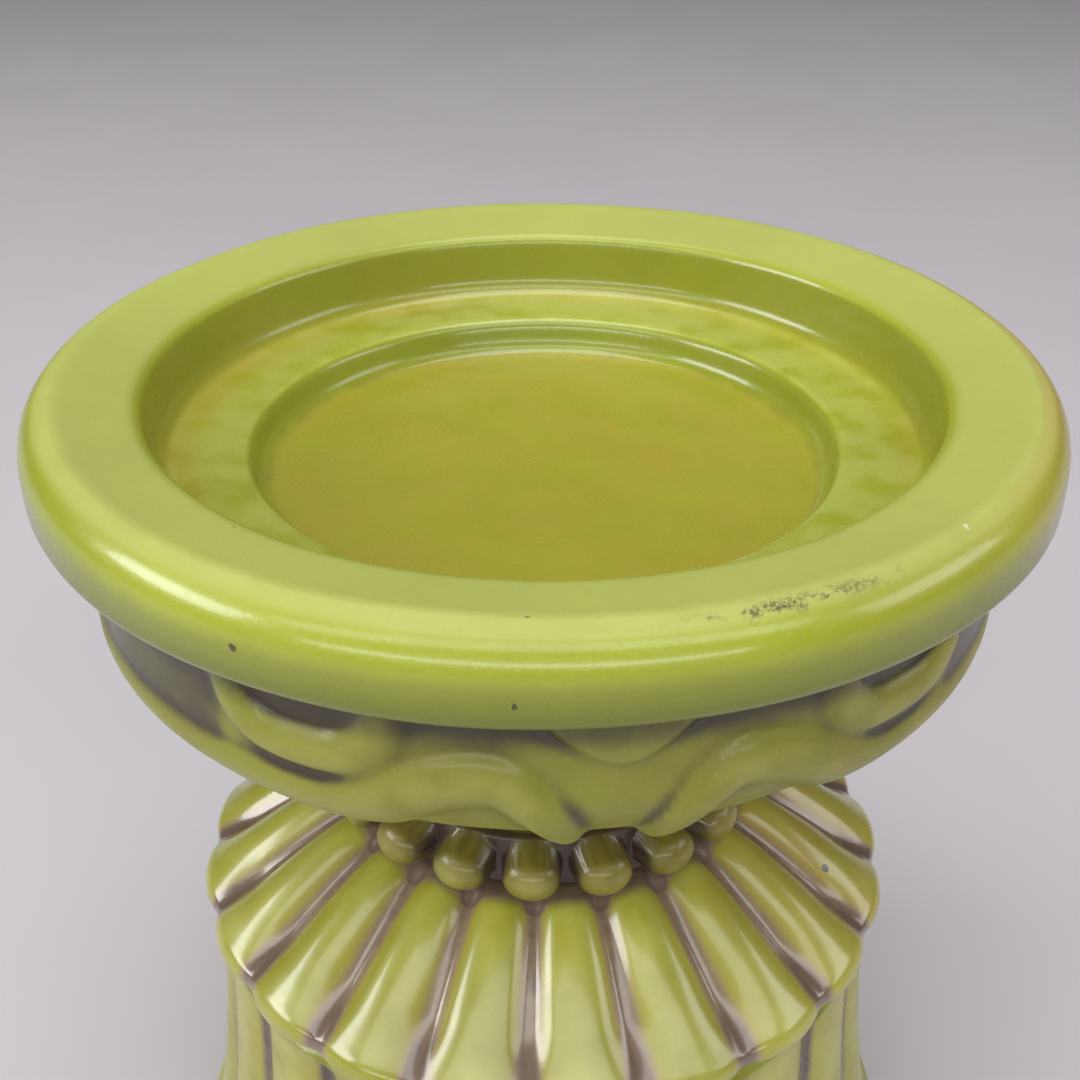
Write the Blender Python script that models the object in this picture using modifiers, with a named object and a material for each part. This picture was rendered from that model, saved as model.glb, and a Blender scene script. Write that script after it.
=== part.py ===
"""Pedestal candlestick in glazed ceramic, for one wide or one narrow pillar candle.

Five slip-cast sections are stacked and luted, each one's spigot in the next one's mouth, and a felt
ring is glued under the foot. Units are metres, +Z is up, and the origin is the centre of the surface
that the candlestick stands on.
"""

import math

import bmesh
import bpy
from mathutils import Matrix, Vector

MM = 0.001

# Whole object
CAST_WALL = 5.0 * MM
LUTE_GAP = 0.3 * MM  # the film of slip or glue between two pieces
SPIGOT_LENGTH = 5.0 * MM
EDGE_ROUND = 1.1 * MM
TURN_STEPS = 54

# Felt ring
FELT_THICKNESS = 1.5 * MM
FELT_MARGIN = 1.5 * MM

# Flared base
FOOT_RADIUS = 60.0 * MM
FOOT_LAND = 10.0 * MM
FOOT_BAND_HEIGHT = 5.0 * MM
BASE_NECK_RADIUS = 51.5 * MM
BASE_HEIGHT = 62.4 * MM
BASE_FLARE_POWER = 1.8
BASE_GROOVE_DEPTH = 1.4 * MM

# Fluted shoulder
SHOULDER_RADIUS = 53.5 * MM
SHOULDER_HEIGHT = 19.4 * MM
SHOULDER_EDGE_RADIUS = 3.2 * MM
SHOULDER_SEAT_RADIUS = 31.3 * MM
SHOULDER_SWELL = 1.25  # above 1 the slope is flatter near the collar
FLUTES = 21
COLUMNS_PER_FLUTE = 4
FLUTE_PHASE = math.radians(-2.5)
FLUTE_DEPTH = 2.0 * MM
FLUTE_EDGE_SHARE = 0.5  # how much of that depth is left at the shoulder's edge
FLUTE_SHARPNESS = 4  # the power of the cosine wave: higher makes grooves narrower, petals broader

# Bead collar
COLLAR_RADIUS = 28.3 * MM
COLLAR_HEIGHT = 7.6 * MM
COLLAR_BORE_RADIUS = 13.0 * MM
BEADS = 19
BEAD_PHASE = math.radians(-3.2)
BEAD_RING_RADIUS = 30.1 * MM
BEAD_HALF_WIDTH = 4.1 * MM  # along the ring
BEAD_HALF_DEPTH = 3.2 * MM  # towards the axis
BEAD_HALF_HEIGHT = 3.4 * MM

# Relief bowl
BOWL_RADIUS = 60.3 * MM
BOWL_HEIGHT = 49.0 * MM
BOWL_FOOT_RADIUS = 25.0 * MM
BOWL_UPRIGHT_DROP = 13.5 * MM  # how far the wall stays upright below the mouth
REPEATS = 3
TONGUE_PHASE = math.radians(7.5)  # the azimuth of one tongue, which the others are counted from
BAND_MOUTH_DROP = 1.2 * MM  # where lobes and tongues start
BAND_PROUD = 1.6 * MM
BAND_SINK = 1.0 * MM
TONGUE_DROP = 9.0 * MM
TONGUE_WIDTH = 15.0 * MM
LOBE_PLACE = math.radians(33.0)  # from the tongue to the middle of the lobe on each side of it
LOBE_ANGLE = math.radians(9.2)
LOBE_DROP = 10.6 * MM
LOBE_WIDTH = 5.6 * MM
SWAG_FOOT_PLACE = math.radians(5.2)  # places along the swag are angles from the tongue
SWAG_TOP_PLACE = math.radians(13.5)
SWAG_FOOT_DROP = 20.5 * MM
SWAG_TOP_DROP = 11.0 * MM
SWAG_LOW_DROP = 18.4 * MM
SWAG_WIDTH = 7.2 * MM
SWAG_FOOT_WIDTH = 4.0 * MM

# Candle pan
RIM_RADIUS = 67.0 * MM
RIM_THICKNESS = 10.5 * MM
RIM_DISH = 2.0 * MM  # how far the flat of the rim falls towards the seat
RIM_NOSE_WIDTH = 4.6 * MM
RIM_NOSE_DROP = 5.5 * MM
RIM_LIP_RADIUS = 1.8 * MM
WIDE_SEAT_RADIUS = 51.9 * MM  # takes a 4 inch pillar
NARROW_SEAT_RADIUS = 39.1 * MM  # takes a 3 inch pillar
LEDGE_DEPTH = 11.2 * MM
FLOOR_DEPTH = 16.2 * MM
SEAT_DRAFT = 1.0 * MM
LEDGE_FILLET = 3.0 * MM
FLOOR_FILLET = 2.4 * MM

# Heights, worked out from the bottom up
FOOT_Z = FELT_THICKNESS + LUTE_GAP
BASE_TOP_Z = FOOT_Z + BASE_HEIGHT
SHOULDER_Z = BASE_TOP_Z + LUTE_GAP
SHOULDER_TOP_Z = SHOULDER_Z + SHOULDER_HEIGHT
COLLAR_Z = SHOULDER_TOP_Z + LUTE_GAP
COLLAR_TOP_Z = COLLAR_Z + COLLAR_HEIGHT
BOWL_Z = COLLAR_TOP_Z + LUTE_GAP
BOWL_TOP_Z = BOWL_Z + BOWL_HEIGHT
PAN_Z = BOWL_TOP_Z + LUTE_GAP
RIM_TOP_Z = PAN_Z + RIM_THICKNESS
LEDGE_Z = RIM_TOP_Z - LEDGE_DEPTH
FLOOR_Z = RIM_TOP_Z - FLOOR_DEPTH


def clear_scene():
    for obj in list(bpy.data.objects):
        bpy.data.objects.remove(obj)


def new_collection(name):
    collection = bpy.data.collections.new(name)
    bpy.context.scene.collection.children.link(collection)
    return collection


def material(name, colour, roughness, metallic=0.0):
    made = bpy.data.materials.new(name)
    made.use_nodes = True
    shader = made.node_tree.nodes["Principled BSDF"]
    shader.inputs["Base Color"].default_value = (*colour, 1.0)
    shader.inputs["Roughness"].default_value = roughness
    shader.inputs["Metallic"].default_value = metallic
    return made


def add_object(name, mesh, collection, finish=None):
    obj = bpy.data.objects.new(name, mesh)
    collection.objects.link(obj)
    if finish:
        mesh.materials.append(finish)
    return obj


def arc(centre_r, centre_z, radius, start, end, points):
    """Points of an arc in the (r, z) half plane. Angles are in degrees, 0 outwards and 90 up."""
    angles = [math.radians(start + (end - start) * i / (points - 1)) for i in range(points)]
    return [(centre_r + radius * math.cos(a), centre_z + radius * math.sin(a)) for a in angles]


def evaluated_mesh(obj):
    """New mesh of the object as its modifiers leave it."""
    graph = bpy.context.evaluated_depsgraph_get()
    return bpy.data.meshes.new_from_object(obj.evaluated_get(graph))


def outward(azimuth, radius, z):
    """Point at a radius and height. Azimuth 0 is the front, towards -Y, and it grows towards +X."""
    return Vector((radius * math.sin(azimuth), -radius * math.cos(azimuth), z))


def turned(name, profile, collection, finish, ring=True, steps=TURN_STEPS):
    """A profile in the (r, z) half plane, from the top down its outer side, turned round Z."""
    mesh = bpy.data.meshes.new(name)
    edges = [(i, i + 1) for i in range(len(profile) - 1)]
    if ring:
        edges.append((len(profile) - 1, 0))
    mesh.from_pydata([(r, 0.0, z) for r, z in profile], edges, [])
    obj = add_object(name, mesh, collection, finish)
    screw = obj.modifiers.new("turn", "SCREW")
    screw.steps = steps
    screw.render_steps = steps
    screw.use_merge_vertices = True
    screw.merge_threshold = 0.01 * MM
    screw.use_smooth_shade = True
    return obj


def fluted(name, profile, depths, collection, finish):
    """A turned ring with grooves down it, as deep as depths says at each point of the profile.

    Across a flute the surface goes in by a power of a cosine wave, so that broad petals lie between
    narrow grooves. The object is turned to bring its first groove, made at +X, to the flute phase.
    """
    obj = turned(name, profile, collection, finish, steps=FLUTES * COLUMNS_PER_FLUTE)
    deepest = max(depths)
    groove = obj.vertex_groups.new(name="groove")
    for index, depth in enumerate(depths):
        groove.add([index], depth / deepest, "REPLACE")
    mesh = evaluated_mesh(obj)
    obj.modifiers.clear()
    obj.data = mesh
    for vertex in mesh.vertices:
        wave = math.cos(FLUTES * math.atan2(vertex.co.y, vertex.co.x) / 2)
        cut = deepest * vertex.groups[0].weight * abs(wave) ** FLUTE_SHARPNESS
        vertex.co.xy *= 1 - cut / vertex.co.xy.length
    obj.rotation_euler.z = FLUTE_PHASE - math.pi / 2
    return obj


def copies_round_axis(name, mesh, count, phase, collection):
    """A helper object that holds count copies of mesh, turned evenly round Z from phase."""
    whole = bmesh.new()
    for i in range(count):
        before = len(whole.verts)
        whole.from_mesh(mesh)
        whole.verts.ensure_lookup_table()
        turn = Matrix.Rotation(phase + math.tau * i / count, 4, "Z")
        bmesh.ops.transform(whole, matrix=turn, verts=whole.verts[before:])
    joined = bpy.data.meshes.new(name)
    whole.to_mesh(joined)
    whole.free()
    obj = add_object(name, joined, collection)
    obj.hide_render = True
    obj.display_type = "WIRE"
    return obj


def join_on(obj, helper):
    boolean = obj.modifiers.new(helper.name, "BOOLEAN")
    boolean.operation = "UNION"
    boolean.solver = "EXACT"
    boolean.object = helper


def make_felt(collection, finish):
    outer = FOOT_RADIUS - FELT_MARGIN
    inner = FOOT_RADIUS - FOOT_LAND + FELT_MARGIN
    profile = [(inner, FELT_THICKNESS), (outer, FELT_THICKNESS), (outer, 0.0), (inner, 0.0)]
    return turned("felt_ring", profile, collection, finish)


def base_radius(z):
    """The base's outer radius above its foot band: a cavetto that opens towards the foot."""
    low = FOOT_Z + FOOT_BAND_HEIGHT
    share = (BASE_TOP_Z - z) / (BASE_TOP_Z - low)
    reach = FOOT_RADIUS - EDGE_ROUND - BASE_NECK_RADIUS
    return BASE_NECK_RADIUS + reach * share**BASE_FLARE_POWER


def make_base(collection, finish):
    band_top = FOOT_Z + FOOT_BAND_HEIGHT
    height = BASE_TOP_Z - band_top
    panel = [BASE_TOP_Z - height * share for share in (0.0, 0.06, 0.25, 0.45, 0.65, 0.82, 0.93, 1.0)]
    profile = [(base_radius(z), z) for z in panel]
    depths = [0.0] + [BASE_GROOVE_DEPTH] * (len(panel) - 2) + [0.0]
    profile += arc(FOOT_RADIUS - EDGE_ROUND, band_top - 1.5 * EDGE_ROUND, EDGE_ROUND, 60, 0, 2)
    profile += arc(FOOT_RADIUS - EDGE_ROUND, FOOT_Z + EDGE_ROUND, EDGE_ROUND, 0, -90, 2)
    profile.append((FOOT_RADIUS - FOOT_LAND, FOOT_Z))
    hollow = [BASE_TOP_Z - height * share for share in (0.75, 0.4, 0.0)]
    profile += [(base_radius(z) - CAST_WALL, z) for z in hollow]
    depths += [0.0] * (len(profile) - len(depths))
    return fluted("flared_base", profile, depths, collection, finish)


def make_shoulder(collection, finish):
    edge_r = SHOULDER_RADIUS - SHOULDER_EDGE_RADIUS
    edge_z = SHOULDER_Z + SHOULDER_EDGE_RADIUS
    run = edge_r - SHOULDER_SEAT_RADIUS
    fall = SHOULDER_TOP_Z - (edge_z + SHOULDER_EDGE_RADIUS)
    shares = (0.0, 0.12, 0.4, 0.7)
    profile = [
        (SHOULDER_SEAT_RADIUS + run * s, SHOULDER_TOP_Z - fall * s**SHOULDER_SWELL) for s in shares
    ]
    depths = [0.0] + [FLUTE_DEPTH] * (len(profile) - 1)
    profile += arc(edge_r, edge_z, SHOULDER_EDGE_RADIUS, 55, -90, 5)
    depths += [FLUTE_DEPTH * FLUTE_EDGE_SHARE] * (len(profile) - len(depths) - 1) + [0.0]

    spigot_outer = BASE_NECK_RADIUS - CAST_WALL - LUTE_GAP
    spigot_inner = spigot_outer - CAST_WALL
    hole = COLLAR_BORE_RADIUS + CAST_WALL + LUTE_GAP
    share = (spigot_inner - SHOULDER_SEAT_RADIUS) / run
    inner_z = SHOULDER_TOP_Z - fall * share**SHOULDER_SWELL - CAST_WALL * math.hypot(run, fall) / run
    profile += [
        (spigot_outer, SHOULDER_Z),
        (spigot_outer, SHOULDER_Z - SPIGOT_LENGTH),
        (spigot_inner, SHOULDER_Z - SPIGOT_LENGTH),
        (spigot_inner, inner_z),
        (SHOULDER_SEAT_RADIUS, SHOULDER_TOP_Z - CAST_WALL),
        (hole, SHOULDER_TOP_Z - CAST_WALL),
        (hole, SHOULDER_TOP_Z),
    ]
    depths += [0.0] * (len(profile) - len(depths))
    return fluted("fluted_shoulder", profile, depths, collection, finish)


def make_collar(collection, cutters, finish):
    spigot = COLLAR_BORE_RADIUS + CAST_WALL
    socket = spigot + LUTE_GAP
    socket_z = COLLAR_TOP_Z - SPIGOT_LENGTH - LUTE_GAP
    profile = [
        (socket, COLLAR_TOP_Z),
        (COLLAR_RADIUS, COLLAR_TOP_Z),
        (COLLAR_RADIUS, COLLAR_Z),
        (spigot, COLLAR_Z),
        (spigot, COLLAR_Z - SPIGOT_LENGTH),
        (COLLAR_BORE_RADIUS, COLLAR_Z - SPIGOT_LENGTH),
        (COLLAR_BORE_RADIUS, socket_z),
        (socket, socket_z),
    ]
    collar = turned("bead_collar", profile, collection, finish)

    bead = bmesh.new()
    bmesh.ops.create_uvsphere(bead, u_segments=8, v_segments=6, radius=1.0)
    halves = (BEAD_HALF_WIDTH, BEAD_HALF_DEPTH, BEAD_HALF_HEIGHT)
    bmesh.ops.scale(bead, vec=halves, verts=bead.verts)
    place = outward(0.0, BEAD_RING_RADIUS, (COLLAR_Z + COLLAR_TOP_Z) / 2)
    bmesh.ops.translate(bead, vec=place, verts=bead.verts)
    mesh = bpy.data.meshes.new("bead")
    bead.to_mesh(mesh)
    bead.free()
    join_on(collar, copies_round_axis("bead_row", mesh, BEADS, BEAD_PHASE, cutters))
    return collar


def bowl_radius(drop):
    """The bowl's outer radius at a depth below its mouth: upright at first, then turned in to the foot."""
    share = (drop - BOWL_UPRIGHT_DROP) / (BOWL_HEIGHT - BOWL_UPRIGHT_DROP)
    swing = 0.5 + 0.5 * math.cos(math.pi * min(max(share, 0.0), 1.0))
    return BOWL_FOOT_RADIUS + (BOWL_RADIUS - BOWL_FOOT_RADIUS) * swing


def on_bowl(azimuth, drop, lift):
    """Point at a lift above the bowl's outer surface, and the surface's outward normal there."""
    small = 0.1 * MM
    slope = (bowl_radius(drop + small) - bowl_radius(drop - small)) / (2 * small)
    normal = outward(azimuth, 1.0, slope).normalized()
    place = outward(azimuth, bowl_radius(drop), BOWL_TOP_Z - drop)
    return place + normal * lift, normal


def raised_band(name, track, widths):
    """Mesh of a low oval rod along track, a list of (azimuth, drop), half sunk in the bowl's surface."""
    sides = 8
    half_height = BAND_PROUD + BAND_SINK
    mesh = bmesh.new()
    rings = []
    places = [on_bowl(azimuth, drop, -BAND_SINK) for azimuth, drop in track]
    for i, ((place, normal), width) in enumerate(zip(places, widths)):
        before = places[max(i - 1, 0)][0]
        after = places[min(i + 1, len(places) - 1)][0]
        across = (after - before).normalized().cross(normal).normalized()
        ring = []
        for side in range(sides):
            angle = math.tau * side / sides
            offset = across * (width / 2 * math.cos(angle)) + normal * (half_height * math.sin(angle))
            ring.append(mesh.verts.new(place + offset))
        rings.append(ring)
    for first, second in zip(rings, rings[1:]):
        for side in range(sides):
            beside = (side + 1) % sides
            mesh.faces.new((first[side], first[beside], second[beside], second[side]))
    mesh.faces.new(rings[0])
    mesh.faces.new(rings[-1])
    bmesh.ops.recalc_face_normals(mesh, faces=mesh.faces)
    made = bpy.data.meshes.new(name)
    mesh.to_mesh(made)
    mesh.free()
    return made


def lobe_band(middle):
    """One U of the row under the rim, open at the top."""
    points = 9
    track = []
    for i in range(points):
        sweep = math.pi * i / (points - 1)
        drop = BAND_MOUTH_DROP + (LOBE_DROP - BAND_MOUTH_DROP) * math.sin(sweep)
        track.append((middle - LOBE_ANGLE * math.cos(sweep), drop))
    return raised_band("lobe", track, [LOBE_WIDTH] * points)


def swag_place(place):
    """(drop, width) of the swag at an angle from the nearest tongue: foot, arch, then low all along."""
    if place < SWAG_TOP_PLACE:
        share = (SWAG_TOP_PLACE - place) / (SWAG_TOP_PLACE - SWAG_FOOT_PLACE)
        drop = SWAG_TOP_DROP + (SWAG_FOOT_DROP - SWAG_TOP_DROP) * share**2
        return drop, SWAG_WIDTH + (SWAG_FOOT_WIDTH - SWAG_WIDTH) * share
    share = min((place - SWAG_TOP_PLACE) / (LOBE_PLACE - SWAG_TOP_PLACE), 1.0)
    fall = 0.5 - 0.5 * math.cos(math.pi * share)
    return SWAG_TOP_DROP + (SWAG_LOW_DROP - SWAG_TOP_DROP) * fall, SWAG_WIDTH


def swag_band():
    """One swag: from a foot beside one tongue, over an arch, under two lobes, to the next tongue's foot."""
    points = 37
    track = []
    widths = []
    for i in range(points):
        span = math.tau / REPEATS - 2 * SWAG_FOOT_PLACE
        place = SWAG_FOOT_PLACE + span * i / (points - 1)
        drop, width = swag_place(min(place, math.tau / REPEATS - place))
        track.append((place, drop))
        widths.append(width)
    return raised_band("swag", track, widths)


def tongue_band():
    """The flat tongue that hangs from the rim above the gap between two swags."""
    points = 6
    track = []
    widths = []
    for i in range(points):
        sweep = math.pi / 2 * i / (points - 0.5)
        drop = BAND_MOUTH_DROP + (TONGUE_DROP - BAND_MOUTH_DROP) * math.sin(sweep)
        track.append((0.0, drop))
        widths.append(TONGUE_WIDTH * math.cos(sweep) ** 0.6)
    return raised_band("tongue", track, widths)


def make_bowl(collection, cutters, finish):
    drops = [BOWL_HEIGHT * share for share in (0.0, 0.26, 0.37, 0.47, 0.57, 0.67, 0.77, 0.88)]
    profile = [(bowl_radius(d), BOWL_TOP_Z - d) for d in drops]
    spigot = COLLAR_BORE_RADIUS + CAST_WALL
    profile += [
        (BOWL_FOOT_RADIUS, BOWL_Z + EDGE_ROUND),
        (BOWL_FOOT_RADIUS - EDGE_ROUND, BOWL_Z),
        (spigot, BOWL_Z),
        (spigot, BOWL_Z - SPIGOT_LENGTH),
        (COLLAR_BORE_RADIUS, BOWL_Z - SPIGOT_LENGTH),
        (COLLAR_BORE_RADIUS, BOWL_Z + CAST_WALL),
    ]
    for drop in reversed(drops[1:-1]):
        inside = on_bowl(0.0, drop, -CAST_WALL)[0]
        profile.append((-inside.y, inside.z))
    profile.append((BOWL_RADIUS - CAST_WALL, BOWL_TOP_Z))
    bowl = turned("relief_bowl", profile, collection, finish)
    bands = {
        "swags": swag_band(),
        "left_lobes": lobe_band(-LOBE_PLACE),
        "right_lobes": lobe_band(LOBE_PLACE),
        "tongues": tongue_band(),
    }
    for name, band in bands.items():
        join_on(bowl, copies_round_axis(name, band, REPEATS, TONGUE_PHASE, cutters))
    return bowl


def make_pan(collection, finish):
    mouth = bowl_radius(0.0) - CAST_WALL
    tub = mouth - LUTE_GAP
    floor_r = NARROW_SEAT_RADIUS - SEAT_DRAFT - FLOOR_FILLET
    ledge_r = WIDE_SEAT_RADIUS - SEAT_DRAFT - LEDGE_FILLET
    lip_z = RIM_TOP_Z - RIM_DISH - EDGE_ROUND
    profile = [(0.0, FLOOR_Z)]
    profile += arc(floor_r, FLOOR_Z + FLOOR_FILLET, FLOOR_FILLET, -90, -8, 3)
    profile += arc(NARROW_SEAT_RADIUS + EDGE_ROUND, LEDGE_Z - EDGE_ROUND, EDGE_ROUND, 180, 90, 3)
    profile += arc(ledge_r, LEDGE_Z + LEDGE_FILLET, LEDGE_FILLET, -90, -8, 3)
    profile += arc(WIDE_SEAT_RADIUS + EDGE_ROUND, lip_z, EDGE_ROUND, 180, 100, 2)

    nose_points = 5
    for i in range(nose_points):
        angle = math.pi / 2 * (1 - i / (nose_points - 1))
        r = RIM_RADIUS - RIM_NOSE_WIDTH + RIM_NOSE_WIDTH * math.cos(angle)
        profile.append((r, RIM_TOP_Z - RIM_NOSE_DROP + RIM_NOSE_DROP * math.sin(angle)))
    profile += arc(RIM_RADIUS - RIM_LIP_RADIUS, PAN_Z + RIM_LIP_RADIUS, RIM_LIP_RADIUS, 0, -90, 4)

    under_ledge = LEDGE_Z - CAST_WALL
    profile += [
        (tub, PAN_Z),
        (tub, under_ledge),
        (NARROW_SEAT_RADIUS + CAST_WALL, under_ledge),
        (NARROW_SEAT_RADIUS + CAST_WALL, FLOOR_Z - CAST_WALL),
        (0.0, FLOOR_Z - CAST_WALL),
    ]
    return turned("candle_pan", profile, collection, finish, ring=False)


def main():
    clear_scene()
    parts = new_collection("candlestick")
    cutters = new_collection("cutters")
    glaze = material("olive_glaze", (0.42, 0.47, 0.10), 0.35)
    felt = material("green_felt", (0.05, 0.11, 0.06), 0.95)
    make_felt(parts, felt)
    make_base(parts, glaze)
    make_shoulder(parts, glaze)
    make_collar(parts, cutters, glaze)
    make_bowl(parts, cutters, glaze)
    make_pan(parts, glaze)


main()
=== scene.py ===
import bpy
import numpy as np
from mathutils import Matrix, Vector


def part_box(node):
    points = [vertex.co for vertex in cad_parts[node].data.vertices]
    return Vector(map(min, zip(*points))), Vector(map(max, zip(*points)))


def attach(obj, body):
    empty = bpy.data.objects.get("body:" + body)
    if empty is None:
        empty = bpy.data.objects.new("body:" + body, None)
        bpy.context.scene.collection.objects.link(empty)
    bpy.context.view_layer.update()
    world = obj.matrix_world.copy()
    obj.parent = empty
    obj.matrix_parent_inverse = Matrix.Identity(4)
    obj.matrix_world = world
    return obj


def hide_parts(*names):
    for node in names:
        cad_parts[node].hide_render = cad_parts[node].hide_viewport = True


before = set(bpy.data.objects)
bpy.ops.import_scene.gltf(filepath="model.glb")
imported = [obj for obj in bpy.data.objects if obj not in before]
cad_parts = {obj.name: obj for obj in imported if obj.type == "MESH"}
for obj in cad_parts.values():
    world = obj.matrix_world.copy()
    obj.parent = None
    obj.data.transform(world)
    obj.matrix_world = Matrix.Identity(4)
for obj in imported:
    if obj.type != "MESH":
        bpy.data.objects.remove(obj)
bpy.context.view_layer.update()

# The looks of a pedestal candlestick in olive glazed ceramic: five slip-cast sections luted one on
# the other, over a ring of felt. The sections below follow it from the foot up. Lengths are in metres,
# +Z is up, azimuth 0 is the front (towards -Y) and it grows towards +X.

MM = 0.001
bpy.context.scene.view_settings.view_transform = "Standard"


# --- Felt ring ---------------------------------------------------------------------------------
# A flat ring of pressed green wool felt that keeps the glaze off the table.
# It is stamped from sheet, so its edges are square and a little hairy, and glued to the foot's land.

FELT_WIDTH = 7.0 * MM
FELT_EDGE = 0.35 * MM
FELT_STEP = 0.6 * MM
FELT_HAIR_DEPTH = 0.08 * MM
FELT_COLUMNS = 360
FELT_SHADE = (0.03, 0.07, 0.04, 1)
FELT_GREEN = (0.07, 0.13, 0.07, 1)
FELT_FIBRE = (0.2, 0.27, 0.17, 1)

BEND_STEP = 0.35  # radians, about the most that one step of a bend turns by


def outline(corners, spacing, ring=True):
    """Points of a profile in the (r, z) half plane, through corners given as (r, z, bend radius).

    A bend is an arc that touches both sides of its corner: it starts at radius / tan(half the corner's
    angle) from the corner, and its centre is radius / sin(half the angle) along the middle line.
    Straight runs are then cut into equal steps no longer than spacing.
    """
    places = np.array(corners, float)
    points = []
    for i, (r, z, radius) in enumerate(places):
        at = np.array([r, z])
        if radius == 0 or (not ring and i in (0, len(places) - 1)):
            points.append(at)
            continue
        back = places[i - 1, :2] - at
        on = places[(i + 1) % len(places), :2] - at
        back /= np.linalg.norm(back)
        on /= np.linalg.norm(on)
        half = np.arccos(np.clip(back @ on, -1, 1)) / 2
        centre = at + (back + on) / np.linalg.norm(back + on) * radius / np.sin(half)
        start = at + back * radius / np.tan(half) - centre
        end = at + on * radius / np.tan(half) - centre
        first = np.arctan2(start[1], start[0])
        turn = (np.arctan2(end[1], end[0]) - first + np.pi) % (2 * np.pi) - np.pi
        steps = max(3, int(np.ceil(abs(turn) * radius / spacing)) + 1, int(abs(turn) / BEND_STEP))
        for angle in first + turn * np.linspace(0, 1, steps):
            points.append(centre + radius * np.array([np.cos(angle), np.sin(angle)]))
    points = np.array(points)
    after = np.roll(points, -1, axis=0) if ring else points[1:]
    runs = []
    for here, there in zip(points, after):
        count = max(1, int(np.ceil(np.linalg.norm(there - here) / spacing)))
        runs.append(here + (there - here) * (np.arange(count) / count)[:, None])
    if not ring:
        runs.append(points[-1:])
    return np.vstack(runs)


def azimuths(columns):
    """The azimuth of each column of a turned grid, as one row."""
    return (np.arange(columns) * 2 * np.pi / columns)[None, :]


def pushed(profile, height, ring=True):
    """(r, z) arrays of a turned grid whose profile is pushed out by height along its own normal.

    The tangent at a row is the difference of the rows beside it, and the normal is that turned by a
    right angle, which points outwards because a profile runs from the top down the outside.
    """
    before = np.roll(profile, 1, axis=0)
    after = np.roll(profile, -1, axis=0)
    if not ring:
        before[0] = profile[0]
        after[-1] = profile[-1]
    tangent = after - before
    tangent /= np.maximum(np.linalg.norm(tangent, axis=1), 1e-9)[:, None]
    r = profile[:, 0, None] - tangent[:, 1, None] * height
    z = profile[:, 1, None] + tangent[:, 0, None] * height
    return r, z


def turned(name, r, z, masks, ring=True):
    """Object whose surface is turned round Z: a point is (r sin a, -r cos a, z) at azimuth a.

    r and z are (rows, columns) arrays. Each face joins a point to the next row and the next column,
    which come round again to the first. A ring's rows come round too; otherwise the first and the last
    row lie on the axis, where each is one point with a fan of triangles. masks are saved as attributes.
    """
    rows, columns = np.broadcast_shapes(r.shape, z.shape)
    a = azimuths(columns)
    places = np.stack([r * np.sin(a), -r * np.cos(a), np.broadcast_to(z, (rows, columns))], -1)
    kept = np.arange(rows * columns).reshape(rows, columns)
    if not ring:
        kept[0] = kept[0, 0]
        kept[-1] = kept[-1, 0]
    below = np.roll(kept, -1, axis=0)
    quads = np.stack(
        [kept, below, np.roll(below, -1, axis=1), np.roll(kept, -1, axis=1)], -1
    )
    if not ring:
        quads = quads[:-1]
    used, index = np.unique(quads, return_inverse=True)
    index = index.reshape(quads.shape)
    if ring:
        faces = index.reshape(-1, 4).tolist()
    else:
        faces = index[0][:, [0, 1, 2]].tolist()
        faces += index[1:-1].reshape(-1, 4).tolist()
        faces += index[-1][:, [0, 1, 3]].tolist()
    mesh = bpy.data.meshes.new(name)
    mesh.from_pydata(places.reshape(-1, 3)[used], [], faces)
    mesh.shade_smooth()
    for mask, values in masks.items():
        whole = np.broadcast_to(values, (rows, columns)).reshape(-1)[used]
        layer = mesh.attributes.new(mask, "FLOAT", "POINT")
        layer.data.foreach_set("value", whole.astype(np.float32))
    piece = bpy.data.objects.new(name, mesh)
    bpy.context.scene.collection.objects.link(piece)
    return piece


def put(tree, kind, inputs=(), **settings):
    """A shader node with its settings made, and its inputs linked to sockets or set to values."""
    made = tree.nodes.new("ShaderNode" + kind)
    for name, value in settings.items():
        setattr(made, name, value)
    for name, value in dict(inputs).items():
        if isinstance(value, bpy.types.NodeSocket):
            tree.links.new(value, made.inputs[name])
        else:
            made.inputs[name].default_value = value
    return made


def noise(tree, place, scale, detail=3.0, roughness=0.5):
    """Noise between 0 and 1 with about scale bumps in a metre."""
    inputs = {"Vector": place, "Scale": scale, "Detail": detail, "Roughness": roughness}
    return put(tree, "TexNoise", inputs).outputs["Fac"]


def sums(tree, operation, first, second):
    """One sum of two numbers or sockets."""
    return put(tree, "Math", {0: first, 1: second}, operation=operation).outputs[0]


def between(tree, value, low, high, least=0.0, most=1.0):
    """A smooth step of value from least at low to most at high."""
    inputs = {"Value": value, 1: low, 2: high, 3: least, 4: most}
    made = put(tree, "MapRange", inputs, interpolation_type="SMOOTHSTEP")
    return made.outputs["Result"]


def blended(tree, share, first, second):
    """Colour that goes from first to second as share goes from 0 to 1."""
    return put(tree, "Mix", {0: share, 6: first, 7: second}, data_type="RGBA").outputs[2]


def new_material(name):
    """An empty material: (material, its node tree, its Object coordinates, its Principled shader)."""
    made = bpy.data.materials.new(name)
    made.use_nodes = True
    tree = made.node_tree
    tree.nodes.clear()
    place = put(tree, "TexCoord").outputs["Object"]
    shader = put(tree, "BsdfPrincipled")
    output = put(tree, "OutputMaterial")
    tree.links.new(shader.outputs[0], output.inputs["Surface"])
    return made, tree, place, shader


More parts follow.
